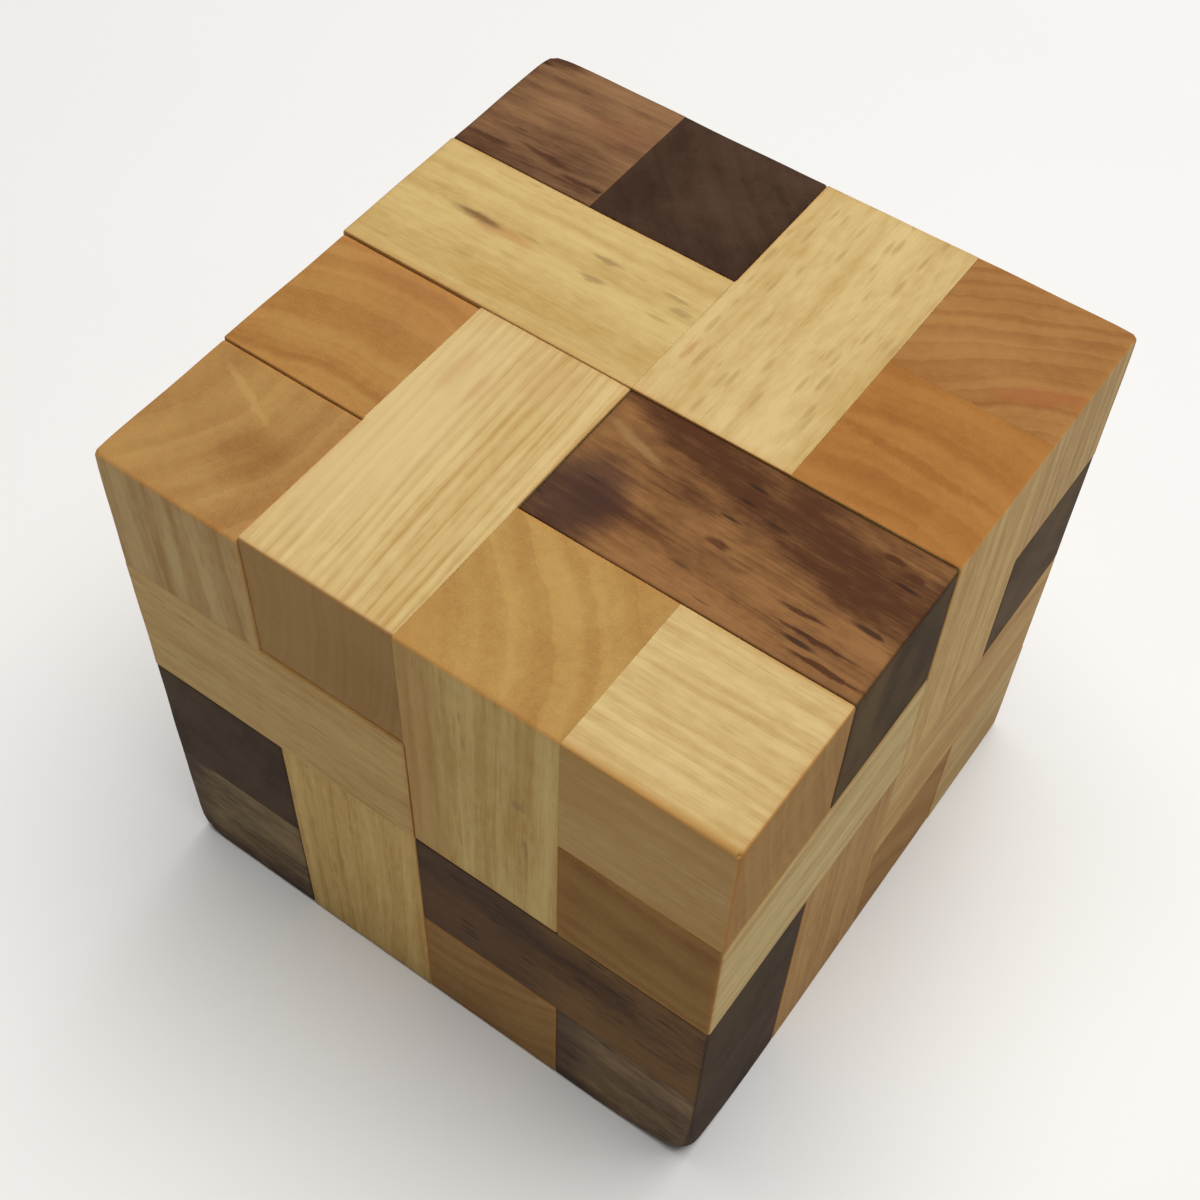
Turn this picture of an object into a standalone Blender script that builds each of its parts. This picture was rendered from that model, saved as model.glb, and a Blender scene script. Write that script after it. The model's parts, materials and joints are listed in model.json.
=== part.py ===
"""A wooden interlocking cube puzzle, four units along each edge.

Two-unit sticks and single-unit cubes are glued into seven puzzle pieces, which
slide together into the cube.  The cube stands on the plane z = 0, centred on
the z axis.  The front is towards -y, the right side towards +x.

Every face has the same layout: four sticks in a pinwheel round its middle and
a cube at each corner.  Eight more cubes fill the core.
"""

import itertools

import bmesh
import bpy
from mathutils import Vector

# Driving dimensions, in metres.
CUBE_SIDE = 0.072          # overall size of the closed puzzle
SLIDING_GAP = 0.0003       # between two puzzle pieces
GLUE_LINE = 0.0001         # between two blocks of one piece
EASED_EDGE = 0.0006        # radius of the sanded edges
EASED_STEPS = 2            # facets round an eased edge

UNITS = 4                  # units along each edge of the cube
UNIT = CUBE_SIDE / UNITS
OUTER_LAYER = 1.5          # from the cube's middle to an outer unit's, in units
CORE_LAYER = 0.5           # and to a core unit's

DIRECTIONS = {
    "left": Vector((-1, 0, 0)),
    "right": Vector((1, 0, 0)),
    "front": Vector((0, -1, 0)),
    "back": Vector((0, 1, 0)),
    "bottom": Vector((0, 0, -1)),
    "top": Vector((0, 0, 1)),
}

# The blocks that are glued together, piece by piece, and the wood of each.
PIECES = {
    "key_piece": ("pale_wood", (
        "top_left_stick", "top_back_stick", "right_front_stick", "right_top_stick",
        "top_back_right_corner")),
    "back_top_piece": ("brown_wood", (
        "top_right_stick", "back_top_stick", "back_right_stick",
        "top_back_left_corner", "top_front_right_core", "top_back_right_core")),
    "ring_piece": ("pale_wood", (
        "top_front_stick", "front_top_stick", "left_top_stick", "left_back_stick",
        "top_front_right_corner")),
    "left_piece": ("pale_wood", (
        "front_left_stick", "front_bottom_stick", "left_bottom_stick",
        "top_front_left_corner", "top_front_left_core", "bottom_back_left_core",
        "top_back_left_core")),
    "front_piece": ("brown_wood", (
        "front_right_stick", "left_front_stick", "bottom_left_stick",
        "bottom_front_left_corner", "bottom_front_right_corner",
        "bottom_front_left_core", "bottom_front_right_core", "bottom_back_right_core")),
    "right_piece": ("pale_wood", (
        "right_back_stick", "right_bottom_stick", "bottom_front_stick",
        "bottom_right_stick")),
    "base_piece": ("pale_wood", (
        "back_bottom_stick", "back_left_stick", "bottom_back_stick",
        "bottom_back_right_corner", "bottom_back_left_corner")),
}

# Colour and roughness of the two woods.
WOODS = {
    "pale_wood": ((0.58, 0.41, 0.17, 1.0), 0.45),
    "brown_wood": ((0.17, 0.08, 0.035, 1.0), 0.50),
}


def cell_key(place):
    """The grid cell at a place given in units from the cube's middle."""
    return tuple(round(value + (UNITS - 1) / 2) for value in place)


def block_layout():
    """Each block's name and the grid cells that it fills."""
    layout = {}
    for face, side in itertools.permutations(DIRECTIONS, 2):
        out, along = DIRECTIONS[face], DIRECTIONS[side]
        if out.dot(along) != 0:
            continue
        inner_end = OUTER_LAYER * out + CORE_LAYER * (along + along.cross(out))
        layout[f"{face}_{side}_stick"] = [cell_key(inner_end), cell_key(inner_end + along)]
    for level, depth, hand in itertools.product(
            ("bottom", "top"), ("front", "back"), ("left", "right")):
        diagonal = DIRECTIONS[level] + DIRECTIONS[depth] + DIRECTIONS[hand]
        layout[f"{level}_{depth}_{hand}_corner"] = [cell_key(OUTER_LAYER * diagonal)]
        layout[f"{level}_{depth}_{hand}_core"] = [cell_key(CORE_LAYER * diagonal)]
    return layout


def side_gap(cells, direction, block_at, piece_of):
    """Total gap on one side of a block, and whether that side is only glued.

    The cube's outer faces have none.  A side that meets another puzzle piece
    anywhere keeps the sliding gap, and the rest have a glue line.
    """
    block = block_at[cells[0]]
    neighbours = set()
    for cell in cells:
        beyond = tuple(int(a + b) for a, b in zip(cell, direction))
        neighbours.add(block_at.get(beyond))
    neighbours.discard(block)
    if neighbours == {None}:
        return 0.0, False
    if any(piece_of[other] != piece_of[block] for other in neighbours):
        return SLIDING_GAP, False
    return GLUE_LINE, True


def block_mesh(name, cells, sides):
    """A box round the cells, drawn in by half of each side's gap, edges eased."""
    middle = Vector([(min(values) + max(values) + 1) / 2 - UNITS / 2
                     for values in zip(*cells)]) * UNIT
    half = Vector([(max(values) - min(values) + 1) / 2
                   for values in zip(*cells)]) * UNIT
    glued = [direction for direction, (_, only_glued) in sides if only_glued]
    shape = bmesh.new()
    bmesh.ops.create_cube(shape, size=2.0)
    for vertex in shape.verts:
        corner = vertex.co.copy()
        vertex.co = Vector([corner[axis] * half[axis] for axis in range(3)])
        for direction, (gap, _) in sides:
            if corner.dot(direction) > 0:
                vertex.co -= direction * gap / 2
    shape.normal_update()
    eased = [edge for edge in shape.edges
             if not any(face.normal.dot(direction) > 0.5
                        for face in edge.link_faces for direction in glued)]
    bmesh.ops.bevel(shape, geom=eased, offset=EASED_EDGE, segments=EASED_STEPS,
                    profile=0.5, affect="EDGES", clamp_overlap=True)
    mesh = bpy.data.meshes.new(name)
    shape.to_mesh(mesh)
    shape.free()
    return mesh, middle


def wood_material(name, wood):
    """A plain Principled wood for one block."""
    colour, roughness = WOODS[wood]
    material = bpy.data.materials.new(name + "_" + wood)
    material.use_nodes = True
    shader = material.node_tree.nodes["Principled BSDF"]
    shader.inputs["Base Color"].default_value = colour
    shader.inputs["Roughness"].default_value = roughness
    shader.inputs["Metallic"].default_value = 0.0
    material.diffuse_color = colour
    return material


def build_puzzle():
    """Every block, parented to an empty that stands for its puzzle piece."""
    layout = block_layout()
    block_at = {cell: name for name, cells in layout.items() for cell in cells}
    piece_of = {name: piece for piece, (_, names) in PIECES.items() for name in names}
    lift = Vector((0, 0, CUBE_SIDE / 2))
    for piece, (wood, names) in PIECES.items():
        handle = bpy.data.objects.new(piece, None)
        handle.location = lift
        bpy.context.collection.objects.link(handle)
        for name in names:
            cells = layout[name]
            sides = [(direction, side_gap(cells, direction, block_at, piece_of))
                     for direction in DIRECTIONS.values()]
            mesh, middle = block_mesh(name, cells, sides)
            mesh.materials.append(wood_material(name, wood))
            block = bpy.data.objects.new(name, mesh)
            block.parent = handle
            block.location = middle
            bpy.context.collection.objects.link(block)


for leftover in list(bpy.data.objects):
    bpy.data.objects.remove(leftover)
build_puzzle()
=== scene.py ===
"""The looks of a wooden interlocking cube puzzle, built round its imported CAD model.

Every glued block gets its own finished piece: a sanded wooden block whose sides are
closed along its glue joints and stand back along the joints that slide, with edges
eased by hand.  The wood is a solid pattern, so that rings, fibres, pores and end
grain run through each block as they would through a sawn one.
"""

import json
import math

import bpy
import numpy as np
from mathutils import Euler, Matrix, Vector


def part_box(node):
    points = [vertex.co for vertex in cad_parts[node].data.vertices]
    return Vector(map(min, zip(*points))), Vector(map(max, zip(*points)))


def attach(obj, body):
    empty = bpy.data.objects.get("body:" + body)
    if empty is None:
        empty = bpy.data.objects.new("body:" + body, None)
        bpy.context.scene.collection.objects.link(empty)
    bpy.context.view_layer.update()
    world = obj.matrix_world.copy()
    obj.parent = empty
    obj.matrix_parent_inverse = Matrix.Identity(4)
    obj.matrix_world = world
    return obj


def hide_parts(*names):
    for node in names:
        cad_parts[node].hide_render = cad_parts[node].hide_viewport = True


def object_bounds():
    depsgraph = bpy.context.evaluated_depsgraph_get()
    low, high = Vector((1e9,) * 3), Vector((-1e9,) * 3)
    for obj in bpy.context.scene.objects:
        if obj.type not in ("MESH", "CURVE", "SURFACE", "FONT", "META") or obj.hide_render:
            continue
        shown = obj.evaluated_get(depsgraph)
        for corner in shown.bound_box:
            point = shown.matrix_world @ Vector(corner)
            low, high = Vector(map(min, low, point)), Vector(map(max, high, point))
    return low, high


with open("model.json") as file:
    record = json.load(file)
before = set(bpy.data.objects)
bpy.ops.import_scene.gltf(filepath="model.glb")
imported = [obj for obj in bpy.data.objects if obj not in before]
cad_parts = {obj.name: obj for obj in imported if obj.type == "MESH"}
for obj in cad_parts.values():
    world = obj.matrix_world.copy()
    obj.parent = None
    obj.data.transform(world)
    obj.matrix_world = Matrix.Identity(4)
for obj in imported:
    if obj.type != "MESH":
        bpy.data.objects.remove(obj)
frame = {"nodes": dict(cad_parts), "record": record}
cad_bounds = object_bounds()

MM = 0.001
UNITS = 4
RECORD = frame["record"]
BODY_OF = {node: body for body, nodes in RECORD["behaviour"]["bodies"].items()
           for node in nodes}
SLOT_OF = {entry["node"]: entry["material_slot"] for entry in RECORD["subparts"]}

cube_low = np.array(cad_bounds[0], float)
cube_high = np.array(cad_bounds[1], float)
UNIT = (cube_high[0] - cube_low[0]) / UNITS
BOTH_ENDS = (-1, 1)
SIDES = [(axis, sign) for axis in range(3) for sign in BOTH_ENDS]
EDGES = [(first, second) for first in SIDES for second in SIDES if first[0] < second[0]]

# How the joints and edges are finished, in metres.
SLIDE_INSET = 0.02 * MM      # a side that slides stands back by this much
WORN_INSET = 0.10 * MM       # and by this much on a piece that is worn looser
GLUE_INSET = 0.004 * MM      # a glued side all but touches its neighbour
GLUED_RADIUS = 0.02 * MM     # an edge on a glue line is sanded flush
SEAM_RADIUS = 0.20 * MM      # an edge on a sliding joint
OUTER_RADIUS = 0.38 * MM     # an edge of the closed cube
BLEND_LENGTH = 0.5 * MM      # what a stick takes from one cell's finish to the next
STAIN_AND_SHADE_REACH = 0.35 * MM     # how far the handling stain, which in the seams is painted shade as well, reaches beside an edge

# An edge's radius swells and shrinks along it: by what share, and how fast.
SLOW_SWELL = 0.16
SLOW_LENGTH = 4.1 * MM
QUICK_SWELL = 0.10
QUICK_LENGTH = 1.7 * MM

# The grid lines of a block's mesh: from both ends, from a stick's middle, and between.
EDGE_LINES = np.array([0, 0.02, 0.08, 0.22, 0.38, 0.6, 0.95, 1.5, 2.2, 3.1]) * MM
MIDDLE_LINES = np.array([-0.6, -0.25, 0, 0.25, 0.6]) * MM
FACE_STEP = 2.6 * MM
LINE_DIGITS = 7              # lines that are the same to this digit of a metre are one

WORN_PIECES = ("back_top_piece",)

# How far each puzzle piece's outer faces stand back from the cube's own faces, at most;
# each side stands back by this times a share between LEAST_RECESS and 1.
LEAST_RECESS = 0.8
FACE_RECESS = {
    "key_piece": 0.0,
    "back_top_piece": 0.06 * MM,
    "ring_piece": 0.08 * MM,
    "left_piece": 0.03 * MM,
    "front_piece": 0.08 * MM,
    "right_piece": 0.06 * MM,
    "base_piece": 0.0,
}

# Blocks sanded lower than the rest of their piece: how much more, by the block and the
# axis that its outer face looks along.
LOW_FACES = {
    ("left_top_stick", 2): 0.36 * MM,
    ("left_top_stick", 0): 0.06 * MM,
    ("top_front_left_corner", 2): 0.72 * MM,
    ("top_front_left_corner", 0): 0.12 * MM,
    ("top_front_stick", 1): 0.16 * MM,
    ("top_right_stick", 2): 0.10 * MM,
}

# The cube's corners are rounder than its edges: extra radius and how far it reaches
# along an edge, for those that are knocked and for all others.
SOFT_CORNERS = {
    "bottom_front_right_corner": (2.3 * MM, 7.0 * MM),
    "bottom_front_left_corner": (1.3 * MM, 2.5 * MM),
    "top_back_left_corner": (0.7 * MM, 1.8 * MM),
}
PLAIN_CORNER = (0.2 * MM, 1.6 * MM)


# ---------------------------------------------------------------- the blocks' layout

def cells_of(node):
    """The grid cells that a CAD block fills, and the axis that it is longest on."""
    low, high = (np.array(corner, float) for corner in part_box(node))
    first = np.round((low - cube_low) / UNIT).astype(int)
    last = np.round((high - cube_low) / UNIT).astype(int) - 1
    cells = [tuple(first)]
    if tuple(last) != tuple(first):
        cells.append(tuple(last))
    return cells, int(np.argmax(last - first))


CELLS = {}
LONG_AXIS = {}
BLOCK_AT = {}
for block_name in sorted(frame["nodes"]):
    CELLS[block_name], LONG_AXIS[block_name] = cells_of(block_name)
    for filled in CELLS[block_name]:
        BLOCK_AT[filled] = block_name


def cell_state(node, cell, side):
    """What a block's cell meets on one side: outer, glue or slide."""
    axis, sign = side
    beyond = list(cell)
    beyond[axis] += sign
    other = BLOCK_AT.get(tuple(beyond))
    if other is None:
        return "outer"
    return "glue" if BODY_OF[other] == BODY_OF[node] else "slide"


def side_states(node, side):
    """What a block meets on one side: a state for each of its cells that lie there."""
    cells = CELLS[node]
    axis, sign = side
    if axis == LONG_AXIS[node] and len(cells) > 1:
        cells = [cells[0] if sign < 0 else cells[-1]]
    return [cell_state(node, cell, side) for cell in cells]


# ---------------------------------------------------------------- the blocks' shape

def grid_lines(length, joined):
    """Distances of the grid lines along one edge: close at both ends and, on a stick,
    at its middle, and even steps of about FACE_STEP between."""
    marks = [EDGE_LINES, length - EDGE_LINES]
    stops = [EDGE_LINES[-1], length - EDGE_LINES[-1]]
    if joined:
        marks.append(length / 2 + MIDDLE_LINES)
        stops[1:1] = [length / 2 + MIDDLE_LINES[0], length / 2 + MIDDLE_LINES[-1]]
    for start, stop in zip(stops[::2], stops[1::2]):
        steps = max(2, int(round((stop - start) / FACE_STEP)))
        marks.append(np.linspace(start, stop, steps + 1))
    return np.unique(np.round(np.concatenate(marks), LINE_DIGITS))


def skin_of_lattice(counts):
    """The outer points of a box of grid points, and the four-sided faces between them.

    A point lies on the skin where one of its three counts is first or last.  Each
    side's faces join neighbouring points, wound so that they face outwards.
    """
    index = np.indices(counts)
    last = np.array(counts).reshape(3, 1, 1, 1) - 1
    on_skin = ((index == 0) | (index == last)).any(0)
    number = np.full(counts, -1)
    number[on_skin] = np.arange(on_skin.sum())
    faces = []
    for axis in range(3):
        for end in (0, counts[axis] - 1):
            side = np.take(number, end, axis=axis)
            quads = np.stack([side[:-1, :-1], side[1:, :-1], side[1:, 1:],
                              side[:-1, 1:]], axis=-1).reshape(-1, 4)
            outwards = (end > 0) != (axis == 1)
            faces.append(quads if outwards else quads[:, ::-1])
    return index[:, on_skin], np.concatenate(faces)


def smooth_step(value):
    """Rises smoothly from 0 to 1 as the value does."""
    value = np.clip(value, 0, 1)
    return value * value * (3 - 2 * value)


def along_cells(values, place, middle):
    """One value per cell, blended smoothly across a stick's middle."""
    if len(values) == 1:
        return np.full_like(place, values[0])
    share = smooth_step((place - middle) / BLEND_LENGTH + 0.5)
    return values[0] + (values[1] - values[0]) * share


def inset_by_state(node, axis, random):
    """How far one side of a block stands back, by what it meets."""
    body = BODY_OF[node]
    recess = FACE_RECESS[body] * random.uniform(LEAST_RECESS, 1.0)
    recess += LOW_FACES.get((node, axis), 0.0)
    return {"outer": recess, "slide": WORN_INSET if body in WORN_PIECES else SLIDE_INSET,
            "glue": GLUE_INSET}


def edge_radius(states):
    """The radius of the edge between two sides of one cell."""
    if "glue" in states:
        return GLUED_RADIUS
    return OUTER_RADIUS if states == {"outer"} else SEAM_RADIUS


def swollen(radius, along, random):
    """A radius that swells and shrinks by a slow and a quick sine wave along its edge,
    each of which starts anywhere."""
    slow, quick, _ = random.uniform(0, 2 * math.pi, 3)
    return radius * (1 + SLOW_SWELL * np.sin(along / SLOW_LENGTH + slow)
                     + QUICK_SWELL * np.sin(along / QUICK_LENGTH + quick))


def round_edge(near, far, radius):
    """How far a point moves in from two sides, to round the edge between them.

    Square rings round the edge become quarter circles: a point at distance m from
    the nearer side lies on the ring of radius r - m, and its distance from the
    other side becomes an angle from 45 degrees down to none.
    """
    inner = np.minimum(near, far)
    outer = np.maximum(near, far)
    ring = np.maximum(radius - inner, 0)
    share = np.clip((outer - inner) / np.maximum(ring, 1e-9), 0, 1)
    angle = math.pi / 4 * (1 - share)
    move_inner = ring * (1 - np.cos(angle))
    move_outer = np.maximum(inner + ring * (1 - np.sin(angle)) - outer, 0)
    inside = outer < radius
    nearer = near <= far
    move_near = np.where(nearer, move_inner, move_outer) * inside
    move_far = np.where(nearer, move_outer, move_inner) * inside
    return move_near, move_far


def block_points(node, random):
    """Every skin point of a finished block, its faces, and how much handling stain and
    painted seam shade each point takes.

    A point starts at its place in the grid.  Each of the twelve edges' rounding moves
    it, with a radius that swells along the edge and grows near the cube's own corners.
    Each side then draws it in by that side's inset, less and less towards the block's
    middle.  The handling stain, which in the seams is painted shade as well, falls away
    exponentially from the nearest free edge.
    """
    cells = CELLS[node]
    long_axis = LONG_AXIS[node]
    low = cube_low + UNIT * np.array(cells[0])
    size = UNIT * (np.array(cells[-1]) - np.array(cells[0]) + 1)
    lines = [grid_lines(size[axis], len(cells) > 1 and axis == long_axis)
             for axis in range(3)]
    index, faces = skin_of_lattice([len(line) for line in lines])
    place = np.stack([lines[axis][index[axis]] for axis in range(3)])
    along = place[long_axis]
    middle = size[long_axis] / 2
    depth = {(axis, sign): place[axis] if sign < 0 else size[axis] - place[axis]
             for axis, sign in SIDES}
    states = {side: side_states(node, side) for side in SIDES}
    insets = {}
    for side in SIDES:
        inset_of = inset_by_state(node, side[0], random)
        insets[side] = along_cells([inset_of[state] for state in states[side]],
                                   along, middle)
    moved = np.zeros_like(place)
    stain_and_seam_shade = np.zeros(place.shape[1])
    for first, second in EDGES:
        run = 3 - first[0] - second[0]
        count = max(len(states[first]), len(states[second]))
        pairs = [{states[first][min(cell, len(states[first]) - 1)],
                  states[second][min(cell, len(states[second]) - 1)]}
                 for cell in range(count)]
        radius = along_cells([edge_radius(pair) for pair in pairs], along, middle)
        radius = swollen(radius, place[run], random)
        for end in BOTH_ENDS:
            corner = {states[(run, end)][0 if end < 0 else -1]} | pairs[0] | pairs[-1]
            if corner == {"outer"}:
                extra, reach = SOFT_CORNERS.get(node, PLAIN_CORNER)
                radius = radius + extra * np.exp(-(depth[(run, end)] / reach) ** 2)
        move_first, move_second = round_edge(depth[first], depth[second], radius)
        moved[first[0]] -= first[1] * move_first
        moved[second[0]] -= second[1] * move_second
        # A free edge takes a handling stain, which in a seam also paints the shade that
        # falls between the pieces.
        free = along_cells([0.0 if "glue" in pair else 1.0 for pair in pairs],
                           along, middle)
        away = np.hypot(depth[first], depth[second])
        stain_and_seam_shade = np.maximum(stain_and_seam_shade, free * np.exp(-away / STAIN_AND_SHADE_REACH))
    for (axis, sign), inset in insets.items():
        share = 1 - np.clip(depth[(axis, sign)] / (size[axis] / 2), 0, 1)
        moved[axis] -= sign * inset * share
    points = low.reshape(3, 1) + place + moved
    return points.T, faces, stain_and_seam_shade


def add_float(mesh, name, values):
    """Stores one number per point under a name that the material reads."""
    attribute = mesh.attributes.new(name, "FLOAT", "POINT")
    attribute.data.foreach_set("value", values.astype(np.float32))


def finished_block(node, random):
    """The visible wooden block that stands for one CAD node."""
    points, faces, stain_and_seam_shade = block_points(node, random)
    mesh = bpy.data.meshes.new("wood_" + node)
    mesh.from_pydata(points.tolist(), [], faces.tolist())
    mesh.update()
    mesh.shade_smooth()
    add_float(mesh, "stain_and_seam_shade", stain_and_seam_shade)
    block = bpy.data.objects.new("wood_" + node, mesh)
    bpy.context.scene.collection.objects.link(block)
    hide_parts(node)
    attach(block, BODY_OF[node])
    return block


# ---------------------------------------------------------------- the woods

# Colours along the grain and across it, in the pores and at the free edges, where a
# handling stain is mixed with painted shade in the seams; the rings' width in millimetres;
# how strongly each pattern shows.
WOODS = {
    "pale_wood": {
        "long_light": (0.645, 0.490, 0.225),
        "long_dark": (0.440, 0.270, 0.085),
        "end_light": (0.480, 0.275, 0.092),
        "end_dark": (0.285, 0.120, 0.034),
        "pore": (0.350, 0.215, 0.080),
        # the stain at free edges, which in the seams is painted warm shade as well
        "stain_and_shade_colour": (0.480, 0.190, 0.045),
        "ring_width": 2.6,
        "bands": 0.34,
        "lines": 0.22,
        "clouds": 0.24,
        "mottle": 0.26,
        "pore_depth": 0.42,
        "roughness": 0.56,
    },
    "brown_wood": {
        "long_light": (0.290, 0.150, 0.070),
        "long_dark": (0.075, 0.030, 0.016),
        "end_light": (0.090, 0.055, 0.036),
        "end_dark": (0.040, 0.022, 0.015),
        "pore": (0.030, 0.014, 0.009),
        # the stain at free edges, which in the seams is painted shade as well
        "stain_and_shade_colour": (0.032, 0.013, 0.007),
        "ring_width": 3.4,
        "bands": 0.50,
        "lines": 0.22,
        "clouds": 0.60,
        "mottle": 0.32,
        "pore_depth": 0.80,
        "roughness": 0.58,
    },
}

# How fine each noise is along and across the grain, in waves per millimetre.
SWAY = (0.02, 0.06, 0.06)
WOBBLE = (0.03, 0.40, 0.40)
FIBRE = (0.05, 1.1, 1.1)
FINE_FIBRE = (0.16, 7.0, 7.0)
CLOUD = (0.045, 0.12, 0.12)
MOTTLE = (0.40, 0.85, 0.85)
PORE_CELL = (0.24, 1.25, 1.25)
WAVER = (0.12, 0.6, 0.6)

# How far three of them push the pattern about, in millimetres.
SWAY_REACH = (0, 4.0, 4.0)
WOBBLE_REACH = (0, 1.1, 1.1)
WAVER_REACH = (1.8, 1.8, 1.8)

BASE_SHADE = 0.28            # how dark a wood is where no pattern shows
CALM_SHADE = 0.3             # and where a mark hides the patterns
LIGHTEST = -0.2              # the shade at which a wood has its light colour
DARKEST = 1.2                # and its dark one
LONG_FACING = 0.35           # how squarely the grain meets a face that is all long grain
END_FACING = 0.9             # and one that is all end grain
STAIN_AND_SHADE_SHARE = 0.38         # how strongly the free edges are stained, which in the seams is painted shade too
END_ROUGHER = 0.16           # end grain is rougher than long grain by this much
RELIEF = 0.05 * MM           # the height of fibres and the depth of pores
RELIEF_STRENGTH = 0.3
WOOD_IOR = 1.45
WOOD_SPECULAR = 0.08
FLECK_CORE = 0.35            # a fleck shows in full within this share of its size

# The grain's axis in the corner cubes; a stick's and a core cube's runs along its
# longest axis, or x where there is none.
CUBE_GRAIN = {
    "top_front_left_corner": 2,
    "top_back_right_corner": 2,
    "top_front_right_corner": 0,
    "top_back_left_corner": 0,
    "bottom_front_left_corner": 0,
    "bottom_front_right_corner": 0,
    "bottom_back_right_corner": 1,
    "bottom_back_left_corner": 2,
}


class Nodes:
    """Adds shader nodes to one material.  What goes into a node is a plain value or the
    socket of another node, and what comes back is its output."""

    def __init__(self, material):
        material.use_nodes = True
        self.tree = material.node_tree
        self.shader = self.tree.nodes["Principled BSDF"]

    def fill(self, socket, value):
        """Links a socket to another one, or sets it to a plain value."""
        if isinstance(value, bpy.types.NodeSocket):
            self.tree.links.new(value, socket)
        else:
            socket.default_value = value

    def add(self, kind, settings=None, **values):
        """The new node itself, of a kind, with its settings and its inputs by name."""
        node = self.tree.nodes.new("ShaderNode" + kind)
        for name, value in (settings or {}).items():
            setattr(node, name, value)
        for name, value in values.items():
            self.fill(node.inputs[name.replace("_", " ")], value)
        return node

    def math(self, operation, *values):
        """One step of arithmetic on numbers."""
        node = self.add("Math", {"operation": operation})
        for socket, value in zip(node.inputs, values):
            self.fill(socket, value)
        return node.outputs[0]

    def vector(self, operation, *values):
        """One step of arithmetic on vectors, which gives a vector or a number."""
        node = self.add("VectorMath", {"operation": operation})
        for socket, value in zip(node.inputs, values):
            self.fill(socket, value)
        number = operation in ("DOT_PRODUCT", "LENGTH", "DISTANCE")
        return node.outputs[1 if number else 0]

    def scaled(self, vector, scale):
        """A vector multiplied part by part."""
        return self.vector("MULTIPLY", vector, scale)

    def noise(self, vector, detail=2.0, roughness=0.5):
        """Both outputs of a smooth noise: first its number, and its "Color"."""
        return self.add("TexNoise", Vector=vector, Scale=1.0, Detail=detail,
                        Roughness=roughness).outputs

    def pushed(self, place, by, reach):
        """A place moved by a noise's colour: half the reach either way at most."""
        push = self.vector("SUBTRACT", by["Color"], (0.5, 0.5, 0.5))
        return self.vector("ADD", place, self.scaled(push, reach))

    def blend(self, share, first, second):
        """The number between two numbers that lies a share of the way along."""
        node = self.add("Mix", {"data_type": "FLOAT"})
        for number, value in ((0, share), (2, first), (3, second)):
            self.fill(node.inputs[number], value)
        return node.outputs[0]

    def step(self, value, low, high, to_low=0.0, to_high=1.0):
        """Runs smoothly from one number to another as the value does from low to high."""
        node = self.add("MapRange", {"interpolation_type": "SMOOTHSTEP"},
                        Value=value, From_Min=low, From_Max=high,
                        To_Min=to_low, To_Max=to_high)
        return node.outputs[0]

    def mix(self, share, first, second):
        """The colour between two colours that lies a share of the way along."""
        node = self.add("Mix", {"data_type": "RGBA"})
        self.fill(node.inputs[0], share)
        for socket, value in ((node.inputs[6], first), (node.inputs[7], second)):
            self.fill(socket, value if isinstance(value, bpy.types.NodeSocket)
                      else (*value, 1.0))
        return node.outputs[2]


def plank_turn(grain_axis, tilt):
    """The turn that lays a block's grain along x, with a small tilt as sawn."""
    lay = {0: Matrix.Identity(3),
           1: Matrix.Rotation(-math.pi / 2, 3, "Z"),
           2: Matrix.Rotation(math.pi / 2, 3, "Y")}[grain_axis]
    return Euler((0, tilt[0], tilt[1])).to_matrix() @ lay


def zone(along, start, stop, darker=0.0, calm=0.0, colour=None, amount=0.0):
    """A part of a block beyond a plane: it grows from start to stop along a direction,
    in millimetres from the block's middle.  calm hides that share of the figure."""
    return {"along": along, "start": start, "stop": stop, "darker": darker,
            "calm": calm, "colour": colour, "amount": amount}


def fleck(at, half, darker=0.0, calm=0.0, colour=None, amount=0.0, turn=(0, 0, 0)):
    """A soft spot or streak: its middle and half sizes in millimetres from the block's
    middle, and its turn in degrees."""
    return {"at": at, "half": half, "turn": turn, "darker": darker,
            "calm": calm, "colour": colour, "amount": amount}


def mark_share(nodes, place, mark):
    """How strongly a mark shows: a zone by the distance along its direction, a fleck by
    the distance from its middle, measured in its own half sizes."""
    if "along" in mark:
        along = nodes.vector("DOT_PRODUCT", place, mark["along"])
        return nodes.step(along, mark["start"], mark["stop"])
    inside = nodes.add(
        "Mapping", {"vector_type": "TEXTURE"}, Vector=place, Location=mark["at"],
        Rotation=[math.radians(angle) for angle in mark["turn"]], Scale=mark["half"])
    return nodes.step(nodes.vector("LENGTH", inside.outputs[0]), 1.0, FLECK_CORE)


def toned(colour, tone):
    """A wood's colour as it is on one block, a little darker or warmer than most."""
    return tuple(value * part for value, part in zip(colour, tone))


def growth_rings(nodes, plank, width):
    """The rings round the tree's middle, and how each year differs from the next.

    The distance from the x axis, bent by two noises, is divided by the rings' width;
    what is left over from a whole number is the season, which darkens late in the year.
    """
    sway = nodes.noise(nodes.scaled(plank, SWAY), 1.0)
    wobble = nodes.noise(nodes.scaled(plank, WOBBLE), 2.0)
    bent = nodes.pushed(plank, sway, SWAY_REACH)
    bent = nodes.pushed(bent, wobble, WOBBLE_REACH)
    across = nodes.vector("LENGTH", nodes.scaled(bent, (0, 1, 1)))
    ring = nodes.math("DIVIDE", across, width)
    season = nodes.math("FRACT", ring)
    late = nodes.math("MULTIPLY", nodes.step(season, 0.35, 0.92),
                      nodes.step(season, 1.0, 0.93))
    year = nodes.add("TexNoise", {"noise_dimensions": "1D"}, W=ring, Scale=0.8,
                     Detail=2.0, Roughness=0.6).outputs[0]
    return late, year


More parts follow.
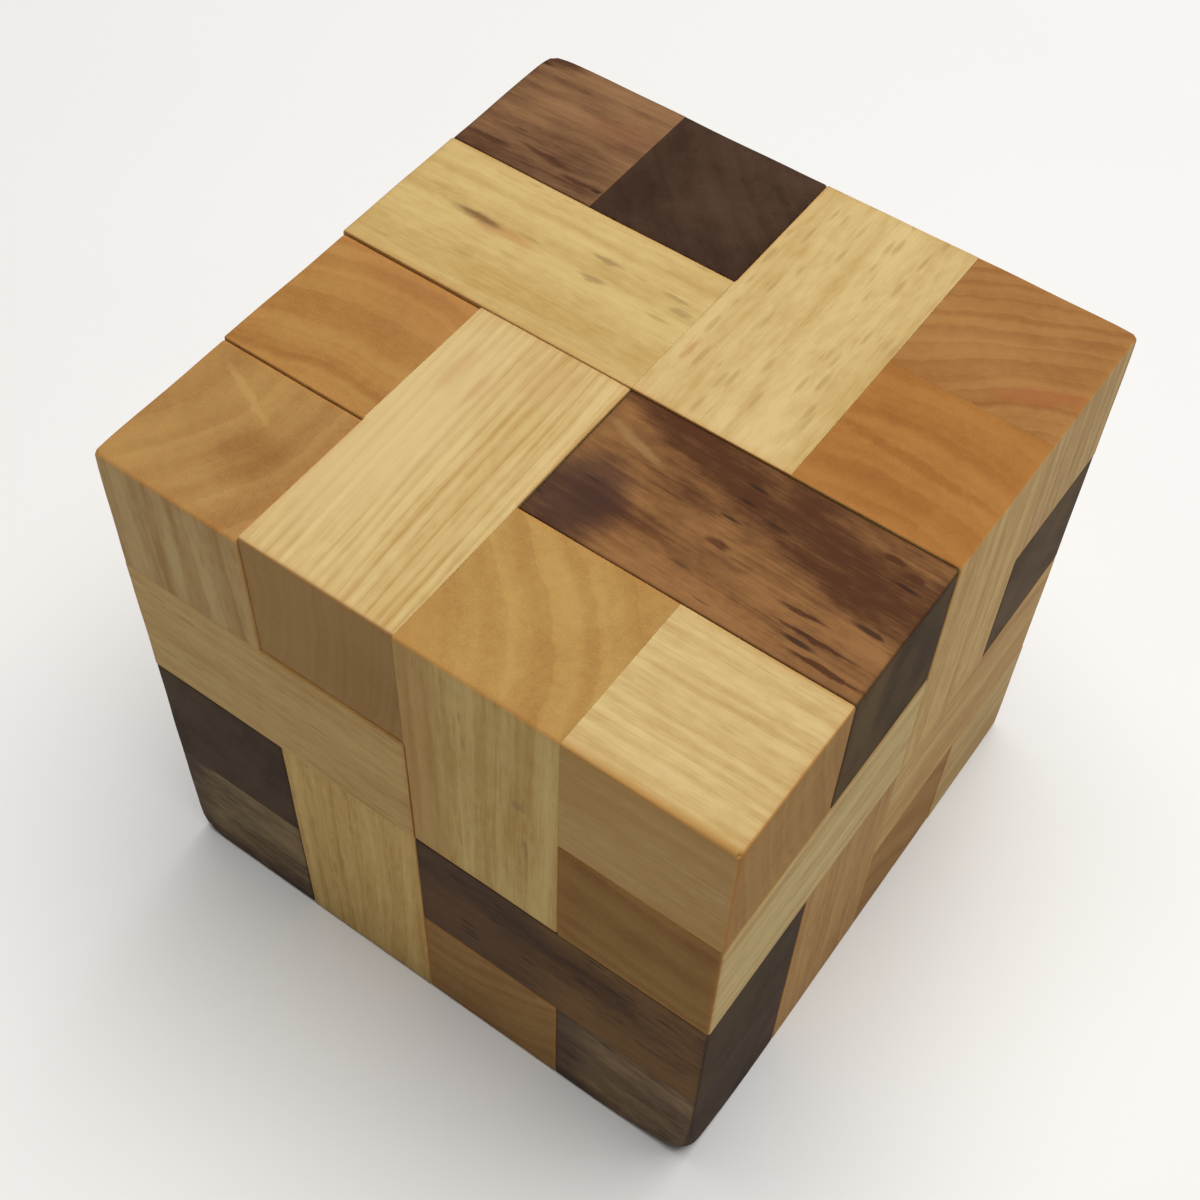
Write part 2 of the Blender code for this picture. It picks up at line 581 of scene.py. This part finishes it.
def open_pores(nodes, plank, end, open_share):
    """Short dark slots along the grain: the middles of stretched cells, of which a share
    is open, drawn by lot, each with a width of its own, and fainter on end grain."""
    cells = nodes.add("TexVoronoi", Vector=nodes.scaled(plank, PORE_CELL),
                      Scale=1.0, Randomness=1.0)
    lot = nodes.vector("DOT_PRODUCT", cells.outputs["Color"], (1, 0, 0))
    width = nodes.vector("DOT_PRODUCT", cells.outputs["Color"], (0, 0.30, 0.08))
    close = nodes.math("SUBTRACT", cells.outputs["Distance"], width)
    closed_share = 1 - open_share
    pore = nodes.math("MULTIPLY", nodes.step(close, 0.20, -0.10),
                      nodes.step(lot, closed_share, closed_share + 0.08))
    return nodes.math("MULTIPLY", pore, nodes.step(end, 0, 1, 1.0, 0.35))


def figure_shade(nodes, plank, end, fibre, fine, wood, cut):
    """How dark the wood's figure is: a sum of year bands, late rings, fibre streaks,
    clouds, a mottle and fine fibres, each as strong as the wood and the cut say."""
    late, year = growth_rings(nodes, plank, wood["ring_width"] * cut["ring_scale"])
    cloud = nodes.noise(nodes.scaled(plank, CLOUD), 2.0, 0.5)[0]
    mottle = nodes.noise(nodes.scaled(plank, MOTTLE), 4.0, 0.62)[0]
    side = nodes.math("SUBTRACT", 1.0, end)
    bands = nodes.step(year, 0.28, 0.75, -0.4, 0.6)
    lines = nodes.math("MULTIPLY", late, nodes.step(side, 0, 1, 0.5, 1.0))
    streaks = nodes.math("MULTIPLY", nodes.step(fibre, 0.25, 0.8, -0.20, 0.36),
                         nodes.step(side, 0, 1, 0.2, 1.0))
    clouds = nodes.step(cloud, 0.25, 0.75, -0.5, 0.6)
    blotches = nodes.math("MULTIPLY", nodes.step(mottle, 0.28, 0.72, -0.5, 0.5),
                          nodes.step(end, 0, 1, 1.0, 0.45))
    shade = nodes.math("MULTIPLY", bands, wood["bands"] * cut["bands"])
    shade = nodes.math("MULTIPLY_ADD", lines, wood["lines"] * cut["lines"], shade)
    shade = nodes.math("MULTIPLY_ADD", streaks, cut["streaks"], shade)
    shade = nodes.math("MULTIPLY_ADD", clouds, wood["clouds"] * cut["clouds"], shade)
    shade = nodes.math("MULTIPLY_ADD", blotches, wood["mottle"] * cut["mottle"], shade)
    shade = nodes.math("ADD", shade, nodes.step(fine, 0.25, 0.75, -0.13, 0.14))
    return nodes.math("ADD", shade, BASE_SHADE + cut["darkness"])


def wood_material(node, random, cut):
    """Solid wood, seen on every face of one block.

    In the plank's own frame, in millimetres, the grain runs along x and the tree's
    middle is the x axis.  The figure's shade leads from the light to the dark colour,
    along the grain and across it, and a face turned across the grain shows the darker,
    rougher end grain.  Marks, pores and the stain of hands lie over that; along the
    seams that stain is painted shade as well.
    """
    wood = WOODS[SLOT_OF[node]]
    grain_axis = CUBE_GRAIN.get(node, LONG_AXIS[node])
    material = bpy.data.materials.new(node + "_" + SLOT_OF[node])
    nodes = Nodes(material)
    centre = sum((Vector(corner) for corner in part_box(node)), Vector()) / 2
    turn = plank_turn(grain_axis, cut["tilt"])
    heart = turn @ Vector(cut["heart"])
    local = nodes.add("Mapping", Vector=nodes.add("TexCoord").outputs["Object"],
                      Location=-centre / MM, Scale=(1 / MM,) * 3).outputs[0]
    plank = nodes.add(
        "Mapping", Vector=local, Rotation=turn.to_euler(),
        Location=(random.uniform(100, 900), -heart.y, -heart.z)).outputs[0]

    normal = nodes.add("NewGeometry").outputs["Normal"]
    grain = Vector([1.0 if axis == grain_axis else 0.0 for axis in range(3)])
    facing = nodes.math("ABSOLUTE", nodes.vector("DOT_PRODUCT", normal, grain))
    end = nodes.step(facing, LONG_FACING, END_FACING)
    fibre = nodes.noise(nodes.scaled(plank, FIBRE), 5.0, 0.62)[0]
    fine = nodes.noise(nodes.scaled(plank, FINE_FIBRE), 3.0, 0.6)[0]
    pore = open_pores(nodes, plank, end, cut["pores"])
    shade = figure_shade(nodes, plank, end, fibre, fine, wood, cut)

    waver = nodes.noise(nodes.scaled(plank, WAVER), 5.0, 0.72)
    place = nodes.pushed(local, waver, WAVER_REACH)
    shares = [(mark, mark_share(nodes, place, mark)) for mark in cut["marks"]]
    for mark, share in shares:
        if mark["calm"]:
            calm = nodes.math("MULTIPLY", share, mark["calm"])
            shade = nodes.blend(calm, shade, CALM_SHADE)
        if mark["darker"]:
            shade = nodes.math("MULTIPLY_ADD", share, mark["darker"], shade)
    shade = nodes.step(shade, LIGHTEST, DARKEST)

    long_colour = nodes.mix(shade, toned(wood["long_light"], cut["tone"]),
                            toned(wood["long_dark"], cut["tone"]))
    end_colour = nodes.mix(shade, toned(wood["end_light"], cut["end_tone"]),
                           toned(wood["end_dark"], cut["end_tone"]))
    colour = nodes.mix(end, long_colour, end_colour)
    colour = nodes.mix(nodes.math("MULTIPLY", pore, wood["pore_depth"]),
                       colour, wood["pore"])
    for mark, share in shares:
        if mark["colour"]:
            colour = nodes.mix(nodes.math("MULTIPLY", share, mark["amount"]),
                               colour, mark["colour"])
    # The stain of hands beside free edges, which also paints shade into the seams between
    # pieces.
    stain_and_seam_shade = nodes.add("Attribute", {"attribute_name": "stain_and_seam_shade"}).outputs["Fac"]
    colour = nodes.mix(nodes.math("MULTIPLY", stain_and_seam_shade, STAIN_AND_SHADE_SHARE),
                       colour, wood["stain_and_shade_colour"])
    rough = nodes.math("ADD", nodes.step(end, 0, 1, wood["roughness"],
                                         wood["roughness"] + END_ROUGHER),
                       nodes.step(fine, 0.2, 0.8, -0.05, 0.06))
    height = nodes.math("SUBTRACT", nodes.math("MULTIPLY", fine, 0.5),
                        nodes.math("MULTIPLY", pore, 1.3))
    height = nodes.math("ADD", height, nodes.math("MULTIPLY", fibre, 0.5))
    bump = nodes.add("Bump", Strength=RELIEF_STRENGTH, Distance=RELIEF, Height=height)

    inputs = nodes.shader.inputs
    nodes.fill(inputs["Base Color"], colour)
    nodes.fill(inputs["Roughness"], rough)
    nodes.fill(inputs["Normal"], bump.outputs[0])
    inputs["IOR"].default_value = WOOD_IOR
    inputs["Specular IOR Level"].default_value = WOOD_SPECULAR
    return material


# How strongly each pattern shows where nothing else is said, and the share of open pores.
PLAIN_CUT = {"ring_scale": 1.0, "bands": 1.0, "lines": 1.0, "streaks": 1.0,
             "clouds": 1.0, "mottle": 1.0, "pores": 0.25, "marks": []}

REDDISH = (0.42, 0.17, 0.06)
TAN_BROWN = (0.28, 0.18, 0.07)
PURPLE_BROWN = (0.050, 0.027, 0.024)

# How single blocks are sawn and marked.  heart is where the tree's middle lies from the
# block's middle, in millimetres; tone and end_tone multiply the wood's colours along and
# across the grain; marks are placed from the block's middle.
CUTS = {
    "top_left_stick": {
        "tone": (0.95, 0.94, 0.87), "heart": (0, -40, 46), "lines": 0.3,
        "streaks": 0.4, "clouds": 1.3, "pores": 0.12,
        "marks": [
            fleck((-5.0, 0.5, 9), (6.4, 1.0, 4), colour=REDDISH, amount=0.5),
            fleck((-8.4, 0.9, 9), (4.2, 0.9, 4), colour=TAN_BROWN, amount=0.7),
            fleck((-8.0, 0.9, 9), (3.2, 0.4, 4), colour=(0.20, 0.10, 0.035), amount=0.8),
            fleck((6.2, 3.7, 9), (2.3, 0.5, 3), colour=TAN_BROWN, amount=0.65),
            fleck((6.4, 0.6, 9), (2.1, 0.5, 3), colour=TAN_BROWN, amount=0.6),
            fleck((14.6, 3.4, 9), (2.2, 0.5, 3), colour=TAN_BROWN, amount=0.5),
            fleck((16.0, 2.0, 9), (1.9, 0.4, 3), colour=TAN_BROWN, amount=0.5)]},
    "top_back_stick": {
        "heart": (30, 0, 60), "lines": 0.2, "streaks": 0.5, "pores": 0.5,
        "marks": [fleck((-7.4, -10.5, 9), (0.6, 2.4, 3), colour=REDDISH, amount=0.5)]},
    "top_front_stick": {
        "end_tone": (0.90, 1.0, 1.15), "heart": (-60, 0, 6), "ring_scale": 0.43,
        "lines": 1.4, "bands": 0.8, "streaks": 0.9, "pores": 0.03, "darkness": -0.04,
        "marks": [fleck((-6.5, 2, 11), (9.0, 24, 8), calm=0.5, darker=-0.10,
                        colour=(0.68, 0.52, 0.29), amount=0.25),
                  zone((0, -1, 0), 16.8, 17.8, calm=0.6),
                  fleck((5.0, -18, -3.0), (9.0, 3, 9.0), darker=0.20),
                  fleck((-5.8, 10, 9), (1.2, 5.0, 3), colour=REDDISH, amount=0.25),
                  fleck((-2.6, 9, 9), (0.8, 4.0, 3), colour=REDDISH, amount=0.25),
                  fleck((2.5, 14, 9), (4.0, 4.0, 3), colour=(0.50, 0.30, 0.13),
                        amount=0.3)]},
    "top_front_right_corner": {
        "tone": (0.98, 0.98, 0.99), "end_tone": (0.88, 0.91, 0.91),
        "heart": (0, 60, 10), "ring_scale": 0.5,
        "bands": 0.6, "lines": 0.7, "streaks": 0.7, "pores": 0.06,
        "marks": [zone((0, -1, 0), 6.5, 9.0, darker=0.36, colour=(0.44, 0.24, 0.07),
                       amount=0.40)]},
    "top_front_left_corner": {
        "tone": (0.86, 0.785, 0.74), "end_tone": (0.91, 0.93, 0.92),
        "heart": (-30, 8, 0), "ring_scale": 1.6, "bands": 1.1, "lines": 1.6,
        "marks": [fleck((-2.3, 5.2, 9), (6.0, 0.6, 3), darker=-0.5, turn=(0, 0, -24.5)),
                  fleck((4.0, -1.0, 9), (5.5, 5.0, 6), darker=0.3),
                  fleck((-0.5, -9, -2), (0.9, 3, 8), darker=-0.6),
                  fleck((3.6, -9, -4), (0.7, 3, 6), darker=-0.4),
                  fleck((-2.6, -9, -4), (0.7, 3, 7), darker=0.4)]},
    "left_top_stick": {
        "end_tone": (0.93, 0.88, 0.77), "heart": (6, -50, 0), "bands": 1.1,
        "lines": 1.5,
        "marks": [zone((0.3, 1, 0), 0.0, 9.0, colour=REDDISH, amount=0.3)]},
    "top_back_right_corner": {
        "tone": (0.875, 0.79, 0.69), "end_tone": (0.84, 0.755, 0.72),
        "heart": (19, -35, 0), "ring_scale": 0.75, "lines": 1.9, "bands": 0.7,
        "marks": [fleck((5, -4.5, 9), (7.0, 1.8, 4), colour=(0.33, 0.10, 0.035),
                        amount=0.5, turn=(0, 0, 30))]},
    "right_top_stick": {
        "tone": (0.925, 0.83, 0.655), "end_tone": (0.87, 0.71, 0.54),
        "heart": (0, -55, 0), "ring_scale": 1.3, "bands": 0.9, "lines": 1.1,
        "marks": [fleck((0, -1.0, 18), (13, 1.0, 4), darker=0.3, turn=(0, 0, -5)),
                  fleck((-2, -6.0, 18), (9, 3.0, 4), darker=0.2)]},
    "top_right_stick": {
        "tone": (1.07, 0.98, 0.72), "end_tone": (1.27, 1.27, 0.70),
        "heart": (0, 26, -16), "ring_scale": 1.2, "lines": 0.5, "bands": 0.4,
        "streaks": 0.5, "clouds": 1.2, "mottle": 0.9, "pores": 0.18,
        "marks": [zone((0.30, 0.95, 0), 1.4, 3.2, darker=0.46),
                  fleck((-8.5, 7.4, 9), (9.0, 3.4, 5), darker=0.28),
                  fleck((12.0, 8.0, 9), (9.0, 3.6, 5), darker=-0.34),
                  fleck((12.6, 6.4, 9), (1.4, 0.5, 3), darker=0.7),
                  fleck((15.2, 5.6, 9), (1.2, 0.5, 3), darker=0.7),
                  fleck((-10.5, 0.5, 9), (9.5, 9.5, 8), darker=0.34),
                  fleck((-15.0, -4.5, 9), (6.6, 7.6, 8), darker=0.35,
                        colour=PURPLE_BROWN, amount=0.6),
                  fleck((-13.8, 3.8, 9), (5.0, 0.75, 3), colour=(0.36, 0.21, 0.085),
                        amount=0.5, turn=(0, 0, -17)),
                  fleck((-1.2, -1.4, 9), (1.8, 0.6, 3), darker=0.7),
                  fleck((9.0, -3.4, 9), (3.4, 0.4, 3), darker=0.7),
                  fleck((11.5, -5.4, 9), (5.5, 0.35, 3), darker=0.8),
                  fleck((14.0, -7.4, 9), (6.0, 0.35, 3), darker=0.8)]},
    "top_back_left_corner": {
        "tone": (1.0, 1.02, 1.0), "heart": (0, -40, 12), "ring_scale": 0.8,
        "lines": 0.6, "bands": 0.4, "streaks": 0.6, "mottle": 0.5, "pores": 0.12,
        "marks": [zone((0, -1, 0), 3.0, 6.0, darker=0.12),
                  fleck((-8.0, 8.5, 9), (6.0, 2.5, 4), darker=0.5),
                  fleck((-6.0, -7.0, 9), (4.2, 0.6, 3), darker=0.45, turn=(0, 0, 4)),
                  fleck((1.0, -5.6, 9), (4.6, 0.5, 3), darker=0.4, turn=(0, 0, -6)),
                  fleck((6.0, -6.6, 9), (3.4, 0.5, 3), darker=0.4, turn=(0, 0, 5)),
                  fleck((5.0, 2.0, 9), (5.0, 3.0, 4), colour=(0.25, 0.10, 0.05),
                        amount=0.35)]},
    "back_top_stick": {
        "end_tone": (0.86, 0.78, 0.72), "heart": (40, 40, 0), "ring_scale": 0.5,
        "bands": 0.5, "lines": 0.6, "clouds": 1.2},
    "front_top_stick": {
        "tone": (1.05, 1.02, 0.88), "end_tone": (1.03, 1.12, 1.05),
        "heart": (-30, -24, 0), "ring_scale": 1.5, "bands": 0.8, "lines": 1.3,
        "marks": [zone((0.8, 0.6, 0), -8.0, -9.8, colour=(0.40, 0.21, 0.06),
                       amount=0.55),
                  fleck((-5.6, -9, 0), (0.5, 3, 20), darker=0.35),
                  fleck((-7.8, -9, 0), (0.4, 3, 20), darker=0.30),
                  fleck((4.4, -9, 2.6), (0.9, 2, 1.0), colour=TAN_BROWN, amount=0.5),
                  fleck((5.2, -9, -5.0), (0.4, 2, 3.0), colour=TAN_BROWN, amount=0.5)]},
    "front_left_stick": {
        "tone": (0.94, 0.86, 0.73), "lines": 0.4, "streaks": 0.5, "bands": 0.6},
    "front_right_stick": {
        "tone": (0.68, 0.67, 0.42), "end_tone": (0.80, 0.80, 0.56),
        "bands": 0.35, "streaks": 0.5, "lines": 0.4,
        "marks": [zone((1, 0, 0), 3.0, -6.0, colour=PURPLE_BROWN, amount=0.45)]},
    "front_bottom_stick": {"tone": (1.05, 0.98, 0.78), "heart": (-50, 20, 0),
                           "ring_scale": 0.7},
    "right_front_stick": {"tone": (0.93, 0.94, 0.88), "end_tone": (0.69, 0.69, 0.64)},
    "left_front_stick": {
        "end_tone": (1.06, 1.15, 1.07), "bands": 0.5, "lines": 0.6},
    "bottom_front_stick": {"end_tone": (0.81, 0.84, 0.88)},
    "bottom_front_left_corner": {
        "tone": (0.98, 1.33, 1.32), "bands": 0.3, "streaks": 0.5, "lines": 0.3,
        # darker towards the left and towards the bottom
        "marks": [zone((-1, 0, 0), 4.0, 9.5, darker=0.45),
                  zone((0, 0, -1), 3.0, 9.0, darker=0.45)]},
    "bottom_front_right_corner": {
        "tone": (1.00, 1.27, 1.28), "bands": 0.3, "streaks": 0.5, "lines": 0.3,
        "marks": [zone((1, 0, 0), -3.0, -8.0, colour=PURPLE_BROWN, amount=0.6),
                  # darker towards the bottom
                  zone((0, 0, -1), 4.0, 9.0, darker=0.4)]},
    "right_back_stick": {"tone": (0.86, 0.745, 0.565)},
    "right_bottom_stick": {"tone": (0.69, 0.515, 0.32)},
    "back_right_stick": {"end_tone": (1.35, 1.38, 1.05), "bands": 0.6},
    "bottom_right_stick": {"end_tone": (0.78, 0.77, 0.74)},
    "bottom_back_right_corner": {"tone": (0.82, 0.76, 0.67)},
}


def cut_for(node, random):
    """How a block is sawn: at random, save for what its own description says.

    The tree's middle lies at a random angle and distance round the grain's axis, the
    grain is tilted a little, and a share called warm takes green and blue from the tones.
    """
    angle = random.uniform(0, 2 * math.pi)
    away = random.uniform(18, 60)
    grain_axis = CUBE_GRAIN.get(node, LONG_AXIS[node])
    first, second = (axis for axis in range(3) if axis != grain_axis)
    heart = [0.0, 0.0, 0.0]
    heart[first] = away * math.cos(angle)
    heart[second] = away * math.sin(angle)
    cut = dict(PLAIN_CUT)
    cut["heart"] = heart
    cut["tilt"] = tuple(random.uniform(-0.05, 0.05, 2))
    cut["darkness"] = random.uniform(-0.04, 0.06)
    warm = random.uniform(0, 1)
    cut["tone"] = (1.0 - 0.1 * warm, 1.0 - 0.2 * warm, 1.0 - 0.28 * warm)
    cut["end_tone"] = (1.0 - 0.15 * warm, 1.0 - 0.25 * warm, 1.0 - 0.35 * warm)
    cut.update(CUTS.get(node, {}))
    return cut


# ---------------------------------------------------------------- floor, light, camera

BACKDROP_COLOUR = (0.965, 0.955, 0.94)
FLOOR_REACH = 4.0            # half the floor's width, in metres
FLOOR_GAP = 0.05 * MM        # between the floor and the cube's foot
FLOOR_GLOW = 0.82            # of the floor far out
GLOW_START = 0.10            # where that glow starts and is full, from the middle
GLOW_FULL = 1.3
SKY_GLOW = 0.87              # of the world to look at
SKY_LIGHT = 0.015            # and as a light

# Each lamp: name, place and width in metres, power in watts, colour.
LAMPS = (("overhead", (0.05, 0.10, 0.85), 0.75, 8.95, (1.0, 0.985, 0.96)),
         ("side_fill", (0.9, -0.1, 0.35), 0.6, 0.6, (0.90, 0.95, 1.0)))


def plain_floor():
    """A wide pale floor just under the cube, with a very faint mottle.  Far out it glows
    a little, as a lit backdrop would, so that it stays pale where the lamps fade."""
    mesh = bpy.data.meshes.new("floor")
    reach = FLOOR_REACH
    level = cube_low[2] - FLOOR_GAP
    mesh.from_pydata([(-reach, -reach, level), (reach, -reach, level),
                      (reach, reach, level), (-reach, reach, level)],
                     [], [(0, 1, 2, 3)])
    floor = bpy.data.objects.new("floor", mesh)
    bpy.context.scene.collection.objects.link(floor)
    material = bpy.data.materials.new("pale_floor")
    nodes = Nodes(material)
    place = nodes.add("TexCoord").outputs["Object"]
    mottle = nodes.noise(nodes.scaled(place, (14.0, 14.0, 14.0)), 3.0)[0]
    glow = nodes.step(nodes.vector("LENGTH", place), GLOW_START, GLOW_FULL,
                      0.0, FLOOR_GLOW)
    inputs = nodes.shader.inputs
    nodes.fill(inputs["Base Color"],
               nodes.mix(mottle, (0.90, 0.90, 0.895), (0.93, 0.93, 0.93)))
    nodes.fill(inputs["Emission Strength"], glow)
    inputs["Emission Color"].default_value = (*BACKDROP_COLOUR, 1.0)
    inputs["Roughness"].default_value = 0.9
    inputs["Specular IOR Level"].default_value = 0.2
    mesh.materials.append(material)


def soft_light(name, place, aim, size, power, colour):
    """A square area lamp at a place, turned so that it shines towards a point."""
    lamp = bpy.data.lights.new(name, "AREA")
    lamp.shape = "SQUARE"
    lamp.size = size
    lamp.energy = power
    lamp.color = colour
    holder = bpy.data.objects.new(name, lamp)
    holder.location = place
    beam = Vector(aim) - Vector(place)
    holder.rotation_euler = beam.to_track_quat("-Z", "Y").to_euler()
    bpy.context.scene.collection.objects.link(holder)


def studio():
    """Soft light mostly from above, a weak cool fill from the right, and a world that
    is pale to look at but lights the cube only faintly."""
    middle = (0, 0, UNIT * 2)
    for name, place, size, power, colour in LAMPS:
        soft_light(name, place, middle, size, power, colour)
    world = bpy.data.worlds.new("pale_world")
    world.use_nodes = True
    tree = world.node_tree
    sky = tree.nodes["Background"]
    sky.inputs["Color"].default_value = (*BACKDROP_COLOUR, 1.0)
    seen = tree.nodes.new("ShaderNodeLightPath").outputs["Is Camera Ray"]
    strength = tree.nodes.new("ShaderNodeMapRange")
    strength.inputs["To Min"].default_value = SKY_LIGHT
    strength.inputs["To Max"].default_value = SKY_GLOW
    tree.links.new(seen, strength.inputs["Value"])
    tree.links.new(strength.outputs["Result"], sky.inputs["Strength"])
    bpy.context.scene.world = world


# The camera stands close, above the front right edge: place in metres from the middle
# of the cube's foot, angles in degrees.
CAMERA_PLACE = (0.0646, -0.1007, 0.2031)
CAMERA_AZIMUTH = 33.7
CAMERA_ELEVATION = 54.2
CAMERA_ROLL = 2.45
CAMERA_LENS = 55.45


def close_camera():
    """Looks back along its azimuth and elevation, rolled a little about that line."""
    azimuth = math.radians(CAMERA_AZIMUTH)
    elevation = math.radians(CAMERA_ELEVATION)
    back = Vector((math.sin(azimuth) * math.cos(elevation),
                   -math.cos(azimuth) * math.cos(elevation), math.sin(elevation)))
    turn = back.to_track_quat("Z", "Y").to_matrix()
    turn = turn @ Matrix.Rotation(math.radians(CAMERA_ROLL), 3, "Z")
    lens = bpy.data.cameras.new("camera")
    lens.lens = CAMERA_LENS
    lens.sensor_width = 36.0
    lens.clip_start = 0.01
    camera = bpy.data.objects.new("camera", lens)
    camera.matrix_world = Matrix.Translation(CAMERA_PLACE) @ turn.to_4x4()
    bpy.context.scene.collection.objects.link(camera)
    bpy.context.scene.camera = camera


# ---------------------------------------------------------------- build

for block_number, block_name in enumerate(sorted(CELLS)):
    block_random = np.random.RandomState(100 + block_number)
    wooden_block = finished_block(block_name, block_random)
    wooden_block.data.materials.append(
        wood_material(block_name, block_random, cut_for(block_name, block_random)))

plain_floor()
studio()
close_camera()
bpy.context.scene.view_settings.view_transform = "Standard"
